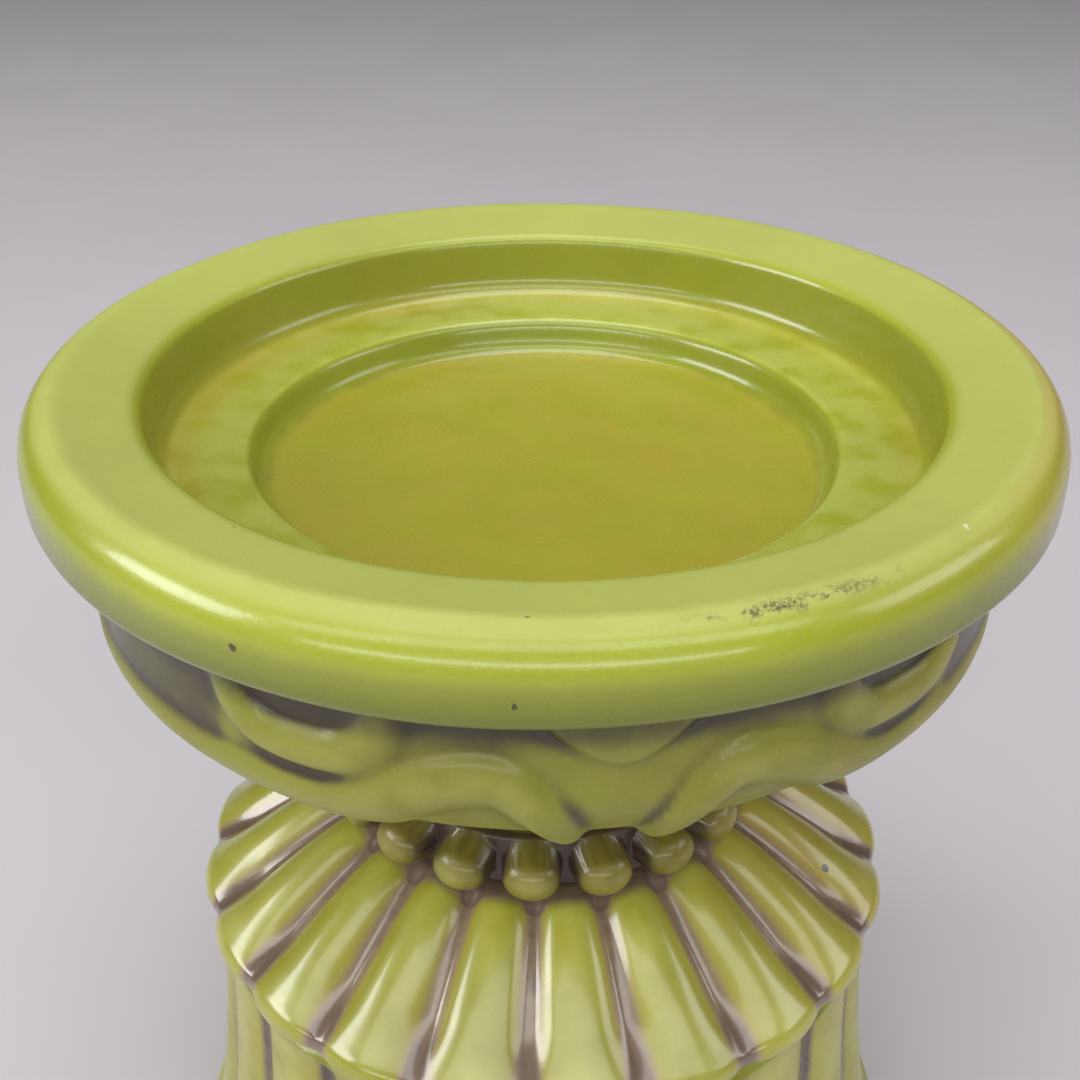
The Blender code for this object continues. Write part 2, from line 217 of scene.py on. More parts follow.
def pressed_felt():
    """Matted wool: long thin noise for the fibres, crossed in two directions, over a mottled green."""
    made, tree, place, shader = new_material("pressed_felt")
    along = put(tree, "Mapping", {"Vector": place, "Scale": (1.0, 0.22, 1.0)}).outputs[0]
    across = put(tree, "Mapping", {"Vector": place, "Scale": (0.22, 1.0, 1.0)}).outputs[0]
    fibres = sums(tree, "MAXIMUM", noise(tree, along, 3200, 2), noise(tree, across, 2900, 2))
    clumps = noise(tree, place, 420, 4, 0.6)
    green = blended(tree, between(tree, clumps, 0.3, 0.7), FELT_SHADE, FELT_GREEN)
    hairs = between(tree, fibres, 0.6, 0.8)
    colour = blended(tree, sums(tree, "MULTIPLY", hairs, 0.45), green, FELT_FIBRE)
    tree.links.new(colour, shader.inputs["Base Color"])
    tree.links.new(between(tree, clumps, 0.2, 0.8, 0.86, 0.98), shader.inputs["Roughness"])
    shader.inputs["Sheen Weight"].default_value = 0.35
    shader.inputs["Sheen Roughness"].default_value = 0.6
    nap = sums(tree, "ADD", fibres, clumps)
    bump = put(tree, "Bump", {"Height": nap, "Distance": 0.18 * MM, "Strength": 1.0})
    tree.links.new(bump.outputs[0], shader.inputs["Normal"])
    return made


felt_low, felt_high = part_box("felt_ring")
felt_outer = felt_high.x
felt_inner = felt_outer - FELT_WIDTH
felt_profile = outline(
    [
        (felt_inner, felt_high.z, FELT_EDGE),
        (felt_outer, felt_high.z, FELT_EDGE),
        (felt_outer, felt_low.z, FELT_EDGE),
        (felt_inner, felt_low.z, FELT_EDGE),
    ],
    FELT_STEP,
)
felt_a = azimuths(FELT_COLUMNS)
felt_rows = np.arange(len(felt_profile))[:, None]
felt_hair = 0.5 + 0.25 * np.sin(47 * felt_a + 1.3 * felt_rows)
felt_hair = felt_hair + 0.25 * np.sin(113 * felt_a - 2.1 * felt_rows)
felt_r, felt_z = pushed(felt_profile, -FELT_HAIR_DEPTH * felt_hair)
felt_ring = turned("felt_ring_pad", felt_r, felt_z, {})
felt_ring.data.materials.append(pressed_felt())
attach(felt_ring, "root")
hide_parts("felt_ring")


# --- Flared base -------------------------------------------------------------------------------
# The hollow foot, slip-cast in glazed ceramic: a cavetto that opens downwards to a plain round band.
# Broad ribs run down it in line with the shoulder's petals, and brown glaze has settled between them.

CAST_WALL = 5.0 * MM
LUTE_GAP = 0.3 * MM
SPIGOT_LENGTH = 5.0 * MM
FLUTES = 21
FLUTE_PHASE = np.radians(-2.5)
GROOVE_HALF_WIDTH = 0.15  # as a share of the pitch
FLUTE_COLUMNS = FLUTES * 24

BASE_NECK_RADIUS = 51.5 * MM
BASE_FLARE_POWER = 1.8
BASE_BAND_HEIGHT = 5.0 * MM
BASE_LAND = 10.0 * MM
BASE_GROOVE = 0.9 * MM
BASE_RIB = 0.6 * MM
BASE_CLEAR = (0.33, 0.35, 0.05, 1)
BASE_DEEP = (0.23, 0.23, 0.03, 1)
BASE_BROWN = (0.17, 0.12, 0.07, 1)

HAND_WAVE = 0.15 * MM
OLIVE = (0.36, 0.41, 0.05, 1)
DEEP_OLIVE = (0.25, 0.28, 0.02, 1)
DARK_GRAIN = (0.16, 0.15, 0.02, 1)
LIGHT_GRAIN = (0.62, 0.66, 0.24, 1)
THIN_GLAZE = (0.52, 0.55, 0.15, 1)
BROWN = (0.15, 0.085, 0.03, 1)
DARK_BROWN = (0.05, 0.03, 0.02, 1)
AMBER = (0.42, 0.25, 0.03, 1)
PINHOLE = (0.03, 0.025, 0.012, 1)


def near(value, middle, spread):
    """A bell curve: 1 where value is at middle, falling as exp(-((value - middle) / spread)^2)."""
    return np.exp(-(((value - middle) / spread) ** 2))


def turn_from(a, middle, period=2 * np.pi):
    """Angle from the nearest middle, where middles come one period apart: -period/2 to period/2."""
    return (a - middle + period / 2) % period - period / 2


def flute_cut(a, groove, crown):
    """How deep the flutes go in at azimuth a, close to 0 at the middle of a petal.

    u is the distance to the nearest groove as a share of the pitch, from -0.5 to 0.5. A narrow bell
    curve exp(-(u / half width)^2) makes the groove, and cos^2(pi u) rounds the petal's crown.
    """
    u = (a - FLUTE_PHASE) * FLUTES / (2 * np.pi)
    u = u - np.round(u)
    return groove * near(u, 0, GROOVE_HALF_WIDTH) + crown * np.cos(np.pi * u) ** 2


def eased(value, low, high):
    """0 up to low, 1 from high on, and a smooth step 3t^2 - 2t^3 in between."""
    t = np.clip((value - low) / (high - low), 0, 1)
    return t * t * (3 - 2 * t)


def hand_wave(a, along, size):
    """The slow unevenness of hand-finished clay.

    It is three waves round the axis, with 2, 5 and 11 to a turn, that drift along the profile.
    """
    waves = np.sin(2 * a + 0.7 + 30 * along) + 0.6 * np.sin(5 * a - 1.1 + 55 * along)
    return size * (waves + 0.35 * np.sin(11 * a + 2.3 - 80 * along)) / 2


def softened(height, rounds):
    """A grid of heights with each point averaged with its neighbours, rounds times over."""
    mean = height
    for _ in range(rounds):
        mean = (np.roll(mean, 1, axis=1) + np.roll(mean, -1, axis=1) + 2 * mean) / 4
        mean = (np.roll(mean, 1, axis=0) + np.roll(mean, -1, axis=0) + 2 * mean) / 4
    return mean


def settled(height, rounds):
    """How far each point of a grid of heights lies below the mean of its surroundings."""
    return softened(height, rounds) - height


def new_group(name, inputs, outputs):
    """A shader node group: (group, its input node, its output node).

    Its inputs are given as (name, kind, value) and its outputs as (name, kind).
    """
    group = bpy.data.node_groups.new(name, "ShaderNodeTree")
    for title, kind, value in inputs:
        socket = group.interface.new_socket(title, in_out="INPUT", socket_type="NodeSocket" + kind)
        if value is not None:
            socket.default_value = value
    for title, kind in outputs:
        group.interface.new_socket(title, in_out="OUTPUT", socket_type="NodeSocket" + kind)
    return group, group.nodes.new("NodeGroupInput"), group.nodes.new("NodeGroupOutput")


def glaze_body_group():
    """Clouded glaze: slow drifts between two greens, fine grains, an orange-peel height and its gloss."""
    group, given, made = new_group(
        "glaze_body",
        [
            ("Place", "Vector", None),
            ("Clear", "Color", OLIVE),
            ("Deep", "Color", DEEP_OLIVE),
            ("Roughness", "Float", 0.4),
        ],
        [("Color", "Color"), ("Roughness", "Float"), ("Height", "Float")],
    )
    place = given.outputs["Place"]
    drift = noise(group, place, 26, 3, 0.5)
    patch = noise(group, place, 110, 5, 0.6)
    grain = noise(group, place, 1400, 3, 0.7)
    slow = sums(group, "MULTIPLY", drift, 0.65)
    cloud = sums(group, "ADD", slow, sums(group, "MULTIPLY", patch, 0.35))
    share = between(group, cloud, 0.36, 0.66)
    colour = blended(group, share, given.outputs["Clear"], given.outputs["Deep"])
    grains = between(group, grain, 0.56, 0.74, 0.0, 0.22)
    colour = blended(group, grains, colour, DARK_GRAIN)
    lights = between(group, noise(group, place, 2100, 2, 0.6), 0.6, 0.75, 0.0, 0.16)
    colour = blended(group, lights, colour, LIGHT_GRAIN)
    group.links.new(colour, made.inputs["Color"])
    gloss = sums(group, "MULTIPLY", sums(group, "SUBTRACT", patch, 0.5), 0.22)
    fine = sums(group, "MULTIPLY", sums(group, "SUBTRACT", grain, 0.5), 0.12)
    gloss = sums(group, "ADD", sums(group, "ADD", given.outputs["Roughness"], gloss), fine)
    group.links.new(gloss, made.inputs["Roughness"])
    peel = sums(group, "MULTIPLY", noise(group, place, 620, 2, 0.5), 0.6)
    pebble = sums(group, "MULTIPLY", noise(group, place, 2300, 2, 0.6), 0.7)
    swell = sums(group, "MULTIPLY", noise(group, place, 90, 2, 0.5), 2.2)
    height = sums(group, "ADD", sums(group, "ADD", peel, pebble), swell)
    group.links.new(height, made.inputs["Height"])
    return group


def pooled_and_shadow_group():
    """Brown glaze that ran into the hollows, and painted shadow on some pieces: a ragged-edged mask,
    and its colour over the glaze below.
    """
    group, given, made = new_group(
        "pooled_glaze_and_shadow",
        [
            ("Place", "Vector", None),
            ("Under", "Color", OLIVE),
            ("Pool and shadow", "Float", 0.0),
            ("Brown", "Color", BROWN),
            ("Dark", "Color", DARK_BROWN),
        ],
        [("Color", "Color"), ("Mask", "Float")],
    )
    place = given.outputs["Place"]
    ragged = noise(group, place, 170, 5, 0.65)
    ragged = sums(group, "MULTIPLY", sums(group, "SUBTRACT", ragged, 0.5), 0.5)
    streak = noise(group, place, 520, 4, 0.6)
    fine = sums(group, "MULTIPLY", sums(group, "SUBTRACT", streak, 0.5), 0.12)
    ragged = sums(group, "ADD", ragged, fine)
    gate = between(group, given.outputs["Pool and shadow"], 0.02, 0.3)
    pool_and_shadow = sums(group, "ADD", given.outputs["Pool and shadow"], sums(group, "MULTIPLY", ragged, gate))
    mask = between(group, pool_and_shadow, 0.1, 0.9)
    depth = between(group, sums(group, "ADD", pool_and_shadow, sums(group, "MULTIPLY", streak, 0.3)), 0.75, 1.25)
    brown = blended(group, depth, given.outputs["Brown"], given.outputs["Dark"])
    group.links.new(blended(group, mask, given.outputs["Under"], brown), made.inputs["Color"])
    group.links.new(mask, made.inputs["Mask"])
    return group


def pinhole_group():
    """Pinholes where gas broke through the glaze: a few dark specks of random size, and their pits."""
    group, given, made = new_group(
        "pinholes",
        [("Place", "Vector", None), ("Spread", "Float", 70.0), ("Size", "Float", 0.05)],
        [("Mask", "Float"), ("Pit", "Float")],
    )
    inputs = {"Vector": given.outputs["Place"], "Scale": given.outputs["Spread"]}
    cells = put(group, "TexVoronoi", inputs)
    parts = put(group, "SeparateColor", {"Color": cells.outputs["Color"]})
    chance = between(group, parts.outputs[0], 0.5, 1.0)
    radius = sums(group, "MULTIPLY", given.outputs["Size"], chance)
    inside = sums(group, "SUBTRACT", radius, cells.outputs["Distance"])
    mask = between(group, inside, 0.0, 0.008)
    group.links.new(mask, made.inputs["Mask"])
    group.links.new(sums(group, "MULTIPLY", mask, -2.5), made.inputs["Pit"])
    return group


def chip_group():
    """A round mark of a given size round one place, with a crumbly edge: 1 inside it and 0 outside."""
    group, given, made = new_group(
        "chip",
        [("Place", "Vector", None), ("Middle", "Vector", None), ("Size", "Float", 0.001)],
        [("Mask", "Float")],
    )
    place = given.outputs["Place"]
    away = put(group, "VectorMath", {0: place, 1: given.outputs["Middle"]}, operation="DISTANCE")
    crumbs = between(group, noise(group, place, 2600, 3, 0.6), 0.3, 0.7, 0.65, 1.35)
    reach = sums(group, "MULTIPLY", given.outputs["Size"], crumbs)
    inside = sums(group, "SUBTRACT", 1.0, sums(group, "DIVIDE", away.outputs["Value"], reach))
    group.links.new(between(group, inside, 0.0, 0.35), made.inputs["Mask"])
    return group


GLAZE_BODY = glaze_body_group()
POOLED_AND_SHADOW = pooled_and_shadow_group()
PINHOLES = pinhole_group()
CHIP = chip_group()


def mask_on(tree, name):
    """The mask of that name, which turned() saved with the piece."""
    return put(tree, "Attribute", attribute_name=name).outputs["Fac"]


def glazed(
    name,
    clear,
    deep,
    roughness,
    brown=BROWN,
    dark=DARK_BROWN,
    warm=AMBER,
    coat=0.3,
    coat_roughness=0.14,
    peel=0.012 * MM,
):
    """Olive glaze with brown pools: (material, tree, coordinates, shader, colour, roughness).

    It reads the piece's pool, thin and warm attributes; on the bowl and the shoulder the pool also
    holds painted shadow. Its colour and roughness aren't linked to the shader yet, so that a piece can
    add marks of its own before finished() links them.
    """
    made, tree, place, shader = new_material(name)
    inputs = {"Place": place, "Clear": clear, "Deep": deep, "Roughness": roughness}
    body = put(tree, "Group", inputs, node_tree=GLAZE_BODY)
    gaps = between(tree, noise(tree, place, 150, 4), 0.3, 0.6)
    thin = sums(tree, "MULTIPLY", mask_on(tree, "thin"), gaps)
    colour = blended(tree, thin, body.outputs["Color"], THIN_GLAZE)
    patches = between(tree, noise(tree, place, 95, 5, 0.6), 0.25, 0.7, 0.35, 1.0)
    blush = sums(tree, "MULTIPLY", mask_on(tree, "warm"), patches)
    colour = blended(tree, blush, colour, warm)
    inputs = {"Place": place, "Under": colour, "Pool and shadow": mask_on(tree, "pool_and_shadow")}
    inputs.update({"Brown": brown, "Dark": dark})
    pooled_and_shadow = put(tree, "Group", inputs, node_tree=POOLED_AND_SHADOW)
    holes = put(tree, "Group", {"Place": place}, node_tree=PINHOLES)
    colour = blended(tree, holes.outputs["Mask"], pooled_and_shadow.outputs["Color"], PINHOLE)
    smooth = sums(tree, "MULTIPLY", pooled_and_shadow.outputs["Mask"], -0.08)
    gloss = sums(tree, "ADD", body.outputs["Roughness"], smooth)
    shader.inputs["IOR"].default_value = 1.5
    shader.inputs["Coat Weight"].default_value = coat
    shader.inputs["Coat Roughness"].default_value = coat_roughness
    height = sums(tree, "ADD", body.outputs["Height"], holes.outputs["Pit"])
    bump = put(tree, "Bump", {"Height": height, "Distance": peel, "Strength": 1.0})
    tree.links.new(bump.outputs[0], shader.inputs["Normal"])
    return made, tree, place, shader, colour, gloss


def finished(glaze):
    """Links a glaze's colour and roughness to its shader, and gives back the material."""
    made, tree, place, shader, colour, gloss = glaze
    tree.links.new(colour, shader.inputs["Base Color"])
    tree.links.new(gloss, shader.inputs["Roughness"])
    return made


base_low, base_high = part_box("flared_base")
base_foot = base_high.x
base_band = base_low.z + BASE_BAND_HEIGHT
base_flare = base_foot - 1.1 * MM - BASE_NECK_RADIUS


def base_radius(z):
    """Outer radius of the base above its band: the neck plus the flare times share^power."""
    share = np.clip((base_high.z - z) / (base_high.z - base_band), 0, 1)
    return BASE_NECK_RADIUS + base_flare * share**BASE_FLARE_POWER


base_heights = np.linspace(base_high.z, base_band + 1.6 * MM, 84)
base_panel = np.stack([base_radius(base_heights), base_heights], -1)
base_rest = outline(
    [
        (base_radius(base_band + 0.8 * MM), base_band + 0.8 * MM, 0),
        (base_foot, base_band - 0.4 * MM, 0.8 * MM),
        (base_foot, base_low.z, 1.1 * MM),
        (base_foot - BASE_LAND, base_low.z, 1.1 * MM),
        (base_radius(base_low.z + 16 * MM) - CAST_WALL, base_low.z + 16 * MM, 4 * MM),
        (base_radius(base_low.z + 38 * MM) - CAST_WALL, base_low.z + 38 * MM, 12 * MM),
        (BASE_NECK_RADIUS - CAST_WALL, base_high.z, 0.5 * MM),
    ],
    1.2 * MM,
    ring=False,
)
base_profile = np.vstack([base_panel, base_rest])
base_a = azimuths(FLUTE_COLUMNS)
base_z = base_profile[:, 1, None]
base_outside = np.arange(len(base_profile))[:, None] < len(base_heights)
base_fade = eased(base_z, base_band + 1.5 * MM, base_band + 7 * MM) * base_outside
base_fade = base_fade * (1 - 0.8 * eased(base_z, base_high.z - 3 * MM, base_high.z - 0.2 * MM))
base_relief = -flute_cut(base_a, BASE_GROOVE, BASE_RIB) * base_fade
base_relief = base_relief + hand_wave(base_a, base_z, HAND_WAVE)
base_r, base_z_full = pushed(base_profile, base_relief)
base_run = 0.25 + 0.75 * eased(base_z, base_band, base_high.z)
base_groove = eased(flute_cut(base_a, 1.0, 0.0), 0.25, 0.95) * base_fade
over_band = 0.55 * near(base_z, base_band + 1.2 * MM, 1.3 * MM) * base_outside
base_pool = base_groove * base_run + over_band
band_thin = 0.5 * near(base_z, base_low.z + 3 * MM, 2.5 * MM)
base_thin = (1 - flute_cut(base_a, 0.0, 1.0)) * 0.5 * base_fade + band_thin
flared_base = turned(
    "flared_base_glazed",
    base_r,
    base_z_full,
    {"pool_and_shadow": base_pool, "thin": base_thin, "warm": 0.25 * base_fade},
)
flared_base.data.materials.append(
    finished(glazed("glaze_on_base", BASE_CLEAR, BASE_DEEP, 0.36, BASE_BROWN))
)
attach(flared_base, "root")
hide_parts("flared_base")


# --- Fluted shoulder ---------------------------------------------------------------------------
# A slip-cast ring of 21 broad petals that falls from the collar to a rounded, scalloped edge.
# Its spigot stands in the base's neck. Purple-brown glaze fills the grooves between the petals.

SHOULDER_EDGE_RADIUS = 3.2 * MM
SHOULDER_SEAT_RADIUS = 31.3 * MM
SHOULDER_SWELL = 1.25
SHOULDER_BORE = 18.3 * MM
SHOULDER_GROOVE = 1.3 * MM
SHOULDER_CROWN = 1.2 * MM
SHOULDER_EDGE_SHARE = 0.5
EDGE_START = 50.8  # degrees, where the slope runs into the rounded edge

shoulder_low, shoulder_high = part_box("fluted_shoulder")
shoulder_foot = shoulder_low.z + SPIGOT_LENGTH
shoulder_radius = shoulder_high.x
edge_centre = np.array([shoulder_radius - SHOULDER_EDGE_RADIUS, shoulder_foot + SHOULDER_EDGE_RADIUS])
edge_angle = np.radians(np.linspace(EDGE_START, -90, 18))[:, None]
edge = edge_centre + SHOULDER_EDGE_RADIUS * np.hstack([np.cos(edge_angle), np.sin(edge_angle)])
shoulder_run = edge[0, 0] - SHOULDER_SEAT_RADIUS
shoulder_fall = shoulder_high.z - edge[0, 1]
slope_share = np.linspace(0, 1, 43)[:-1, None] ** 0.9
slope = np.hstack(
    [
        SHOULDER_SEAT_RADIUS + shoulder_run * slope_share,
        shoulder_high.z - shoulder_fall * slope_share**SHOULDER_SWELL,
    ]
)
spigot_outer = BASE_NECK_RADIUS - CAST_WALL - LUTE_GAP
shoulder_inside = outline(
    [
        (spigot_outer, shoulder_foot, 0.3 * MM),
        (spigot_outer, shoulder_low.z, 0.5 * MM),
        (spigot_outer - CAST_WALL, shoulder_low.z, 0.5 * MM),
        (spigot_outer - CAST_WALL, shoulder_high.z - 0.42 * shoulder_fall - 1.2 * CAST_WALL, 3 * MM),
        (SHOULDER_SEAT_RADIUS, shoulder_high.z - CAST_WALL, 3 * MM),
        (SHOULDER_BORE, shoulder_high.z - CAST_WALL, 0.5 * MM),
        (SHOULDER_BORE, shoulder_high.z, 0.4 * MM),
        (SHOULDER_SEAT_RADIUS - 1.2 * MM, shoulder_high.z, 0),
    ],
    1.4 * MM,
    ring=False,
)
shoulder_profile = np.vstack([slope, edge, shoulder_inside])
shoulder_a = azimuths(FLUTE_COLUMNS)
shoulder_row = np.arange(len(shoulder_profile))[:, None]
shoulder_out = len(slope) + len(edge)
shoulder_r0 = shoulder_profile[:, 0, None]
shoulder_z0 = shoulder_profile[:, 1, None]
on_top = (shoulder_z0 > shoulder_high.z - 0.01 * MM) * (shoulder_r0 > 24 * MM)
on_slope = (shoulder_row < shoulder_out) | on_top
shoulder_fade = eased(shoulder_r0, SHOULDER_SEAT_RADIUS - 4 * MM, SHOULDER_SEAT_RADIUS)
at_edge = eased(shoulder_r0, shoulder_radius - 8 * MM, shoulder_radius)
shoulder_fade = shoulder_fade * (1 - (1 - SHOULDER_EDGE_SHARE) * at_edge)
row_fade = np.where(on_top, 1.0, eased(shoulder_out - 1.0 - shoulder_row, 0.0, 5.0))
shoulder_fade = shoulder_fade * row_fade * on_slope
shoulder_relief = -flute_cut(shoulder_a, SHOULDER_GROOVE, SHOULDER_CROWN) * shoulder_fade
shoulder_relief = shoulder_relief + hand_wave(shoulder_a, shoulder_r0, HAND_WAVE) * on_slope
shoulder_r, shoulder_z = pushed(shoulder_profile, shoulder_relief)
shoulder_groove = eased(flute_cut(shoulder_a, 1.0, 0.0), 0.02, 0.95) * eased(shoulder_fade, 0, 0.5)
shoulder_depth = 0.85 + 0.35 * near(shoulder_r0, shoulder_radius - 2 * MM, 3 * MM)
# Painted shadow: a dark ring just outside the seat, under the collar's beads.
off_seat = eased(shoulder_r0, SHOULDER_SEAT_RADIUS - 1 * MM, SHOULDER_SEAT_RADIUS + 0.8 * MM)
seat_shadow = 0.8 * (1 - off_seat)
shoulder_pool_and_shadow = (shoulder_groove * shoulder_depth + seat_shadow) * on_slope
petal_end = near(shoulder_r0, shoulder_radius - 2.2 * MM, 1.8 * MM) * on_slope
shoulder_thin = (1 - flute_cut(shoulder_a, 0.0, 1.0)) * (0.25 + 0.6 * petal_end) * shoulder_fade
right_side = turn_from(shoulder_a, np.radians(75))
shoulder_warm = 0.1 + 0.4 * eased(flute_cut(shoulder_a, 0.6, 0.4), 0.2, 0.7) * shoulder_fade
shoulder_warm = shoulder_warm + 0.45 * near(right_side, 0, np.radians(25)) * on_slope
fluted_shoulder = turned(
    "fluted_shoulder_glazed",
    shoulder_r,
    shoulder_z,
    {"pool_and_shadow": shoulder_pool_and_shadow, "thin": shoulder_thin, "warm": shoulder_warm},
)
fluted_shoulder.data.materials.append(
    finished(
        glazed(
            "glaze_on_shoulder",
            clear=(0.38, 0.39, 0.045, 1),
            deep=(0.27, 0.28, 0.02, 1),
            roughness=0.3,
            brown=(0.29, 0.21, 0.14, 1),
            dark=(0.17, 0.115, 0.08, 1),
            coat=0.65,
        )
    )
)
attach(fluted_shoulder, "root")
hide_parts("fluted_shoulder")


# --- Bead collar -------------------------------------------------------------------------------
# A short cast ring with 19 round beads side by side, between the shoulder and the bowl.
# Its spigot stands in the shoulder's bore, and dark glaze fills the gaps round the beads.

COLLAR_RADIUS = 28.3 * MM
COLLAR_BORE_RADIUS = 13.0 * MM
COLLAR_COLUMNS = 432
BEADS = 19
BEAD_PITCH = 2 * np.pi / BEADS
BEAD_PHASE = np.radians(-3.2)
BEAD_RING_RADIUS = 30.1 * MM
BEAD_HALF_WIDTH = 4.1 * MM  # along the ring
BEAD_HALF_DEPTH = 3.2 * MM
BEAD_HALF_HEIGHT = 3.4 * MM
# Painted shade: the collar's glaze colours are far darker than the other sections' olive, as in the shade
# under the bowl.
COLLAR_SHADED_CLEAR = (0.13, 0.145, 0.01, 1)
COLLAR_SHADED_DEEP = (0.085, 0.094, 0.005, 1)
COLLAR_SHADED_BROWN = (0.07, 0.052, 0.02, 1)

collar_low, collar_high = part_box("bead_collar")
collar_foot = collar_low.z + SPIGOT_LENGTH
stem_spigot = COLLAR_BORE_RADIUS + CAST_WALL
collar_profile = outline(
    [
        (COLLAR_RADIUS - 1.2 * MM, collar_high.z, 0.5 * MM),
        (COLLAR_RADIUS - 0.8 * MM, (collar_foot + collar_high.z) / 2, 9 * MM),
        (COLLAR_RADIUS, collar_foot, 0.5 * MM),
        (stem_spigot, collar_foot, 0.3 * MM),
        (stem_spigot, collar_low.z, 0.6 * MM),
        (COLLAR_BORE_RADIUS, collar_low.z, 0.6 * MM),
        (COLLAR_BORE_RADIUS, collar_high.z - SPIGOT_LENGTH - LUTE_GAP, 0.3 * MM),
        (stem_spigot + LUTE_GAP, collar_high.z - SPIGOT_LENGTH - LUTE_GAP, 0.3 * MM),
        (stem_spigot + LUTE_GAP, collar_high.z, 0.3 * MM),
    ],
    0.42 * MM,
)
collar_a = azimuths(COLLAR_COLUMNS)
collar_z = collar_profile[:, 1, None]
collar_core = np.broadcast_to(collar_profile[:, 0, None], (len(collar_profile), COLLAR_COLUMNS))
outside_core = collar_profile[:, 0, None] > (COLLAR_RADIUS - 2.5 * MM)


def bead_surface(a, z):
    """Radius of the beads' outer side, or 0 between them.

    A bead is an ellipsoid on the ring. With h the height above its middle and d the angle from it, a
    horizontal ray from the axis leaves it at the larger root t of p t^2 - 2 q t + s = 0, where
    p = cos^2 d / depth^2 + sin^2 d / width^2, q = ring cos d / depth^2 and
    s = ring^2 / depth^2 + h^2 / height^2 - 1.
    """
    d = turn_from(a, BEAD_PHASE, BEAD_PITCH)
    h = z - (collar_foot + collar_high.z) / 2
    p = (np.cos(d) / BEAD_HALF_DEPTH) ** 2 + (np.sin(d) / BEAD_HALF_WIDTH) ** 2
    q = BEAD_RING_RADIUS * np.cos(d) / BEAD_HALF_DEPTH**2
    s = (BEAD_RING_RADIUS / BEAD_HALF_DEPTH) ** 2 + (h / BEAD_HALF_HEIGHT) ** 2 - 1
    left = q * q - p * s
    return np.where(left > 0, (q + np.sqrt(np.maximum(left, 0))) / p, 0)


beads = np.where(outside_core, bead_surface(collar_a, collar_z), 0)
collar_r = np.maximum(collar_core, beads)
bead_turn = np.abs(turn_from(collar_a, BEAD_PHASE, BEAD_PITCH))
bead_gap = near(bead_turn, BEAD_PITCH / 2, 1.1 * MM / BEAD_RING_RADIUS)
core_shown = softened(np.where(beads == 0, 1.0, 0.0), 10)
collar_pool = np.clip(bead_gap + 0.9 * core_shown, 0, 1.2) * outside_core
bead_front = collar_r - BEAD_RING_RADIUS - BEAD_HALF_DEPTH + 1.1 * MM
collar_thin = np.clip(bead_front / (1.1 * MM), 0, 1) * outside_core
bead_collar = turned(
    "bead_collar_glazed",
    collar_r,
    np.broadcast_to(collar_z, collar_r.shape),
    {"pool_and_shadow": collar_pool, "thin": 0.35 * collar_thin, "warm": 0.3 * outside_core},
)
bead_collar.data.materials.append(
    finished(glazed("shaded_glaze_on_collar", COLLAR_SHADED_CLEAR, COLLAR_SHADED_DEEP, 0.42, COLLAR_SHADED_BROWN))
)
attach(bead_collar, "root")
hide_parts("bead_collar")


# --- Relief bowl -------------------------------------------------------------------------------
# The cast bowl under the rim. Three times round it, a flat tongue hangs between two U-shaped lobes,
# over a swag whose foot stands below the tongue and which runs low from lobe to lobe in between.

BOWL_RADIUS = 60.3 * MM
BOWL_HEIGHT = 49.0 * MM
BOWL_FOOT_RADIUS = 25.0 * MM
BOWL_UPRIGHT_DROP = 13.5 * MM
BOWL_COLUMNS = 576
REPEATS = 3
TONGUE_PHASE = np.radians(7.5)
BAND_PROUD = 1.6 * MM
TONGUE_HALF_ANGLE = np.radians(10.5)
TONGUE_DROP = 9.2 * MM
LOBE_PLACE = np.radians(33.0)
LOBE_HALF_ANGLE = np.radians(9.2)
LOBE_DROP = 10.6 * MM
LOBE_HALF_WIDTH = 2.8 * MM
SWAG_FOOT_PLACE = np.radians(5.2)
SWAG_TOP_PLACE = np.radians(13.5)
SWAG_FOOT_DROP = 21.5 * MM
SWAG_TOP_DROP = 11.0 * MM
SWAG_LOW_DROP = 18.4 * MM
SWAG_HALF_WIDTH = 3.7 * MM
SWAG_FOOT_HALF_WIDTH = 2.2 * MM

bowl_low, bowl_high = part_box("relief_bowl")
bowl_foot = bowl_high.z - BOWL_HEIGHT


def bowl_radius(drop):
    """Outer radius at a drop below the mouth: half a cosine wave from upright wall to foot."""
    share = np.clip((drop - BOWL_UPRIGHT_DROP) / (BOWL_HEIGHT - BOWL_UPRIGHT_DROP), 0, 1)
    return BOWL_FOOT_RADIUS + (BOWL_RADIUS - BOWL_FOOT_RADIUS) * (0.5 + 0.5 * np.cos(np.pi * share))


def rod(distance, half_width):
    """Height of a rounded band, 1 on its middle line and 0 past its edge: (1 - t^2)^0.7."""
    t = np.clip(distance / half_width, 0, 1)
    return (1 - t * t) ** 0.7


def tongue_height(place, drop):
    """Height of a plate with rounded edges.

    Its lower edge is at the full drop times 1 - (angle / half angle)^1.6.
    """
    edge_drop = TONGUE_DROP * (1 - np.clip(place / TONGUE_HALF_ANGLE, 0, 1) ** 1.6)
    return 0.85 * (1 - (1 - np.clip((edge_drop - drop) / (2.2 * MM), 0, 1)) ** 2) ** 0.6


def lobe_distance(place, drop):
    """Distance from a U, and f, which is under 1 inside it and over 1 outside.

    f is the cube root of (x/a)^3 + (y/b)^3, and the distance is |f - 1| times the U's mean half size.
    """
    x = np.abs(place - LOBE_PLACE) / LOBE_HALF_ANGLE
    f = np.cbrt(x**3 + (drop / LOBE_DROP) ** 3)
    return np.abs(f - 1) * (LOBE_HALF_ANGLE * BOWL_RADIUS + LOBE_DROP) / 2, f


